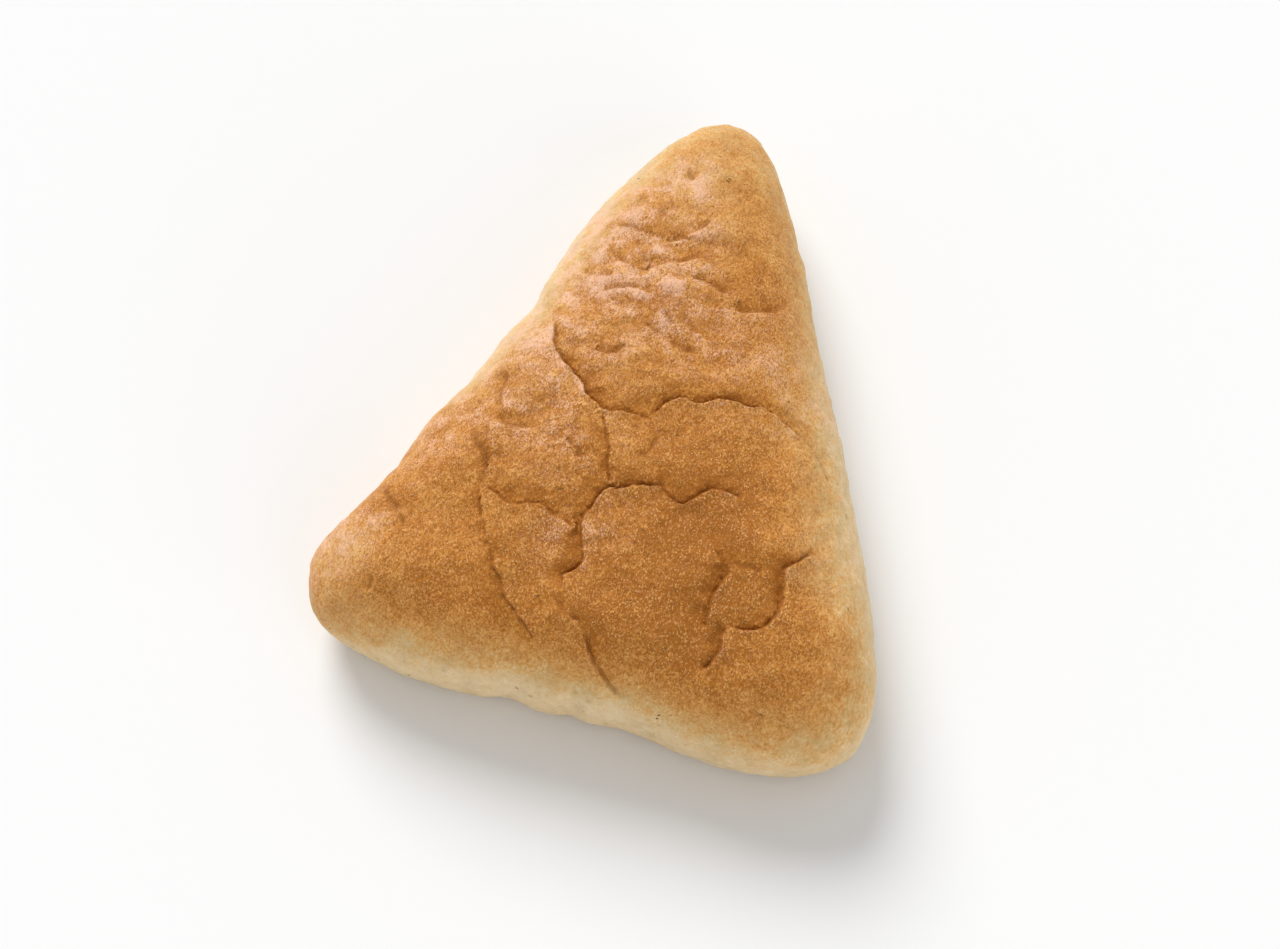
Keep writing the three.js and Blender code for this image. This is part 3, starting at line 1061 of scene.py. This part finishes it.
def crust_finish():
    """Pale sides turning to a speckled golden-brown top under flour, with a painted sheen on raised and
    floured crust and painted shade in hollows, folds and low on the wall.
    """
    finish, tree, shader, place = new_finish("golden_crust", CRUST_ROUGHNESS)
    bake = mesh_value(tree, "bake")
    fold = mesh_value(tree, "fold")
    lip = mesh_value(tree, "lip")
    hollow = mesh_value(tree, "hollow")
    relief = mesh_value(tree, "relief")
    streaks = streaky(tree, place)

    drift = minus(tree, noise(tree, place, *DRIFT), 0.5)
    mottle = minus(tree, noise(tree, place, *MOTTLE), 0.5)
    streak = minus(tree, noise(tree, streaks, *STREAK), 0.5)
    tone = plus(tree, times(tree, drift, DRIFT_TONE), times(tree, mottle, MOTTLE_TONE),
                times(tree, streak, STREAK_TONE))
    # Hollows are painted browner as shade, and raised crust paler as a highlight.
    tone = plus(tree, tone, times(tree, hollow, HOLLOW_SHADE_TONE), times(tree, relief, RELIEF_HIGHLIGHT_TONE))
    baked_here = smooth_step(tree, bake, 0.0, 0.25)
    tone_share = plus(tree, times(tree, baked_here, 1.0 - PALE_TONE_SHARE), PALE_TONE_SHARE)
    tone = plus(tree, bake, times(tree, tone, tone_share))
    ramp = put(tree, "ShaderNodeValToRGB", {"Fac": tone})
    stops = ramp.color_ramp.elements
    while len(stops) < len(BAKE_COLOURS):
        stops.new(0.5)
    for stop, (brownness, baked_colour) in zip(stops, BAKE_COLOURS):
        stop.position = brownness
        stop.color = (*baked_colour, 1.0)
    colour = ramp.outputs["Color"]

    grain, second_grain = cells(tree, streaks, GRAIN_CELL)[:2]
    # The flour veil is real flour and also painted sheen: thicker on raised crust and lips as a painted
    # highlight, thinner in hollows as painted shade.
    raised = smooth_step(tree, relief, -0.6, 0.6)
    patches = smooth_step(tree, noise(tree, place, *FLOUR_PATCHES), 0.35, 0.65)
    dust_and_sheen = times(tree, mesh_value(tree, "flour"), plus(tree, raised, 0.4), plus(tree, patches, 0.35))
    dust_and_sheen = plus(tree, times(tree, dust_and_sheen, SETTLED_DUST_AND_SHEEN), times(tree, lip, patches, LIP_DUST_AND_HIGHLIGHT),
                times(tree, hollow, HOLLOW_DUST_AND_SHADE))
    dust_and_sheen_cover = smooth_step(tree, minus(tree, dust_and_sheen, times(tree, second_grain, GRAIN_DUST)), -0.4, 0.6)
    colour = mixed(tree, times(tree, dust_and_sheen_cover, dust_and_sheen_cover, FLOUR_AND_SHEEN_VEIL_SHARE), colour, FLOUR_AND_SHEEN_VEIL)

    speckled = smooth_step(tree, bake, 0.2, 0.8)
    # Light grain specks, made stronger on raised crust as painted glints.
    light = times(tree, smooth_step(tree, grain, 0.7, 1.0), speckled, plus(tree, raised, 0.3))
    colour = mixed(tree, times(tree, light, LIGHT_SPECK_AND_GLINT_SHARE), colour, LIGHT_SPECK_AND_GLINT)
    dark = times(tree, smooth_step(tree, grain, 0.35, 0.0), speckled, DARK_SPECK_SHARE)
    dark = times(tree, dark, minus(tree, 1.0, times(tree, dust_and_sheen_cover, FLOUR_OVER_DARK)))
    colour = mixed(tree, dark, colour, DARK_SPECK)
    # Painted shade in the folds' cracks.
    fold_shade = smooth_step(tree, fold, 0.2, 1.0)
    colour = mixed(tree, times(tree, fold_shade, FOLD_SHADE_SHARE), colour, FOLD_SHADE)

    level = put(tree, "ShaderNodeSeparateXYZ", {0: place}).outputs["Z"]
    pale_here = minus(tree, 1.0, speckled)
    # The pale wall gets darker mottles, and painted shade towards its foot.
    painted_low_shade = smooth_step(tree, level, *LOW_WALL_SHADE)
    side_darkening = smooth_step(tree, noise(tree, place, *SIDE_CLOUDS), 0.4, 0.66)
    side_darkening = plus(tree, side_darkening, times(tree, painted_low_shade, 0.5), times(tree, grain, grain, 0.7))
    colour = mixed(tree, times(tree, side_darkening, pale_here, SIDE_MOTTLE_AND_SHADE_SHARE), colour, SIDE_MOTTLE_AND_SHADE)
    bloomed = smooth_step(tree, noise(tree, streaks, *SIDE_BLOOMS), 0.48, 0.68)
    bloomed = plus(tree, bloomed, times(tree, second_grain, second_grain, 0.5))
    palest = smooth_step(tree, bake, 0.3, 0.05)
    colour = mixed(tree, times(tree, bloomed, palest, SIDE_BLOOM_SHARE), colour, SIDE_BLOOM)
    for spacing, bare_share, strength in SIDE_SPOTS:
        spot, second_spot, spot_middle = cells(tree, place, spacing)
        spotted = times(tree, smooth_step(tree, spot, bare_share, bare_share + 0.1), pale_here)
        inside = smooth_step(tree, spot_middle, *SPOT_EDGE)
        colour = mixed(tree, times(tree, spotted, inside, second_spot, strength), colour, SIDE_SPOT)

    foot = smooth_step(tree, plus(tree, level, times(tree, drift, FOOT_WANDER)), *TOASTED_FOOT)
    colour = mixed(tree, foot, colour, BASE_TOAST)
    tree.links.new(colour, shader.inputs["Base Color"])

    fine = noise(tree, streaks, *FINE_GRIT)
    rough = plus(tree, times(tree, fine, ADDED_ROUGHNESS), LEAST_ROUGHNESS)
    tree.links.new(rough, shader.inputs["Roughness"])
    coarse = noise(tree, place, *COARSE_GRIT)
    grit = plus(tree, fine, times(tree, coarse, COARSE_GRIT_SHARE), times(tree, grain, GRAIN_GRIT_SHARE))
    bump = put(tree, "ShaderNodeBump", {"Height": grit, "Strength": 1.0, "Distance": GRIT_HEIGHT})
    tree.links.new(bump.outputs["Normal"], shader.inputs["Normal"])
    return finish


def loose_finish(name, colour, darkest):
    """A dry matt finish for loose things, each a little lighter or darker than the next."""
    finish, tree, shader, place = new_finish(name, LOOSE_ROUGHNESS)
    shade = noise(tree, place, *LOOSE_SHADE)
    shaded = tuple(part * darkest for part in colour)
    tree.links.new(mixed(tree, shade, shaded, colour), shader.inputs["Base Color"])
    return finish


# --- Camera, light and floor ----------------------------------------------------------------------

CAMERA_ELEVATION = math.radians(65.0)
CAMERA_AZIMUTH = math.radians(20.08)
CAMERA_DISTANCE = 576.0 * MM
CAMERA_TARGET = mathutils.Vector((-2.1 * MM, -13.26 * MM, 15.0 * MM))
CAMERA_LENS = 90.0
SENSOR_WIDTH = 36.0
CAMERA_NEAREST = 10.0 * MM

# The floor: half its side in metres, its level a little under the roll, its grey and how rough it is.
FLOOR_HALF = 3.0
FLOOR_LEVEL = -0.1 * MM
FLOOR_GREY = 0.88
FLOOR_ROUGHNESS = 0.9


def towards(azimuth, elevation):
    """Unit vector from the roll towards a lamp or camera at these angles."""
    level = math.cos(elevation)
    return mathutils.Vector((math.sin(azimuth) * level, -math.cos(azimuth) * level, math.sin(elevation)))


def make_camera():
    data = bpy.data.cameras.new("camera")
    data.lens = CAMERA_LENS
    data.sensor_width = SENSOR_WIDTH
    data.clip_start = CAMERA_NEAREST
    camera = show("camera", data)
    camera.location = CAMERA_TARGET + CAMERA_DISTANCE * towards(CAMERA_AZIMUTH, CAMERA_ELEVATION)
    camera.rotation_euler = (math.pi / 2 - CAMERA_ELEVATION, 0.0, CAMERA_AZIMUTH)
    bpy.context.scene.camera = camera


# The studio's walls are brighter than what is overhead: the brightness of each, and how far up, as
# the sine of the angle, the walls begin to dim and end.
WALL_BRIGHTNESS = 0.92
SKY_BRIGHTNESS = 0.5
WALL_TOP = (0.12, 0.4)

# The lamps: azimuth, elevation, spread in degrees, and the brightness of a white matt surface facing it.
LAMPS = {
    "key_lamp": (222.0, 40.0, 32.0, 0.8),
    "fill_lamp": (60.0, 20.0, 60.0, 0.2),
}


def make_studio():
    """White walls and a dimmer white sky, a soft lamp from the upper left, and a weak one facing it."""
    world = bpy.data.worlds.new("studio")
    bpy.context.scene.world = world
    world.use_nodes = True
    tree = world.node_tree
    sky = tree.nodes["Background"]
    sky.inputs["Color"].default_value = (1.0, 1.0, 1.0, 1.0)
    looks_to = put(tree, "ShaderNodeTexCoord").outputs["Generated"]
    up = put(tree, "ShaderNodeSeparateXYZ", {0: looks_to}).outputs["Z"]
    overhead = smooth_step(tree, up, *WALL_TOP)
    strength = plus(tree, times(tree, overhead, SKY_BRIGHTNESS - WALL_BRIGHTNESS), WALL_BRIGHTNESS)
    tree.links.new(strength, sky.inputs["Strength"])
    for name, (azimuth, elevation, spread, brightness) in LAMPS.items():
        light = bpy.data.lights.new(name, "SUN")
        light.angle = math.radians(spread)
        light.energy = brightness * math.pi
        lamp = show(name, light)
        aim = towards(math.radians(azimuth), math.radians(elevation))
        lamp.location = CAMERA_TARGET + aim
        lamp.rotation_euler = aim.to_track_quat("Z", "Y").to_euler()
    bpy.context.scene.view_settings.view_transform = "Standard"


def make_floor():
    turns = [(-1, -1), (1, -1), (1, 1), (-1, 1)]
    corners = [(x * FLOOR_HALF, y * FLOOR_HALF, FLOOR_LEVEL) for x, y in turns]
    mesh = bpy.data.meshes.new("floor")
    mesh.from_pydata(corners, [], [(0, 1, 2, 3)])
    paint = bpy.data.materials.new("pale_floor")
    paint.use_nodes = True
    shader = paint.node_tree.nodes["Principled BSDF"]
    shader.inputs["Base Color"].default_value = (FLOOR_GREY, FLOOR_GREY, FLOOR_GREY, 1.0)
    shader.inputs["Roughness"].default_value = FLOOR_ROUGHNESS
    shader.inputs["Specular IOR Level"].default_value = 0.0
    mesh.materials.append(paint)
    show("floor", mesh)


# --- The scene ------------------------------------------------------------------------------------

make_camera()
make_studio()
make_floor()

roll = make_roll(crust_finish())
flour_finish = loose_finish("flour_cream", GRAIN_CREAM, GRAIN_DARKEST)
bran_finish = loose_finish("bran_brown", BRAN_BROWN, BRAN_DARKEST)
flour_grains = make_loose("flour_grains", roll, on_floured_top, FLOUR_GRAINS, SEED, flour_finish)
bran_flecks = make_loose("bran_flecks", roll, on_wall_and_top, BRAN_FLECKS, SEED + 1, bran_finish)
for piece in (roll, flour_grains, bran_flecks):
    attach(piece, BODY)
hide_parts(ROLL_NODE)
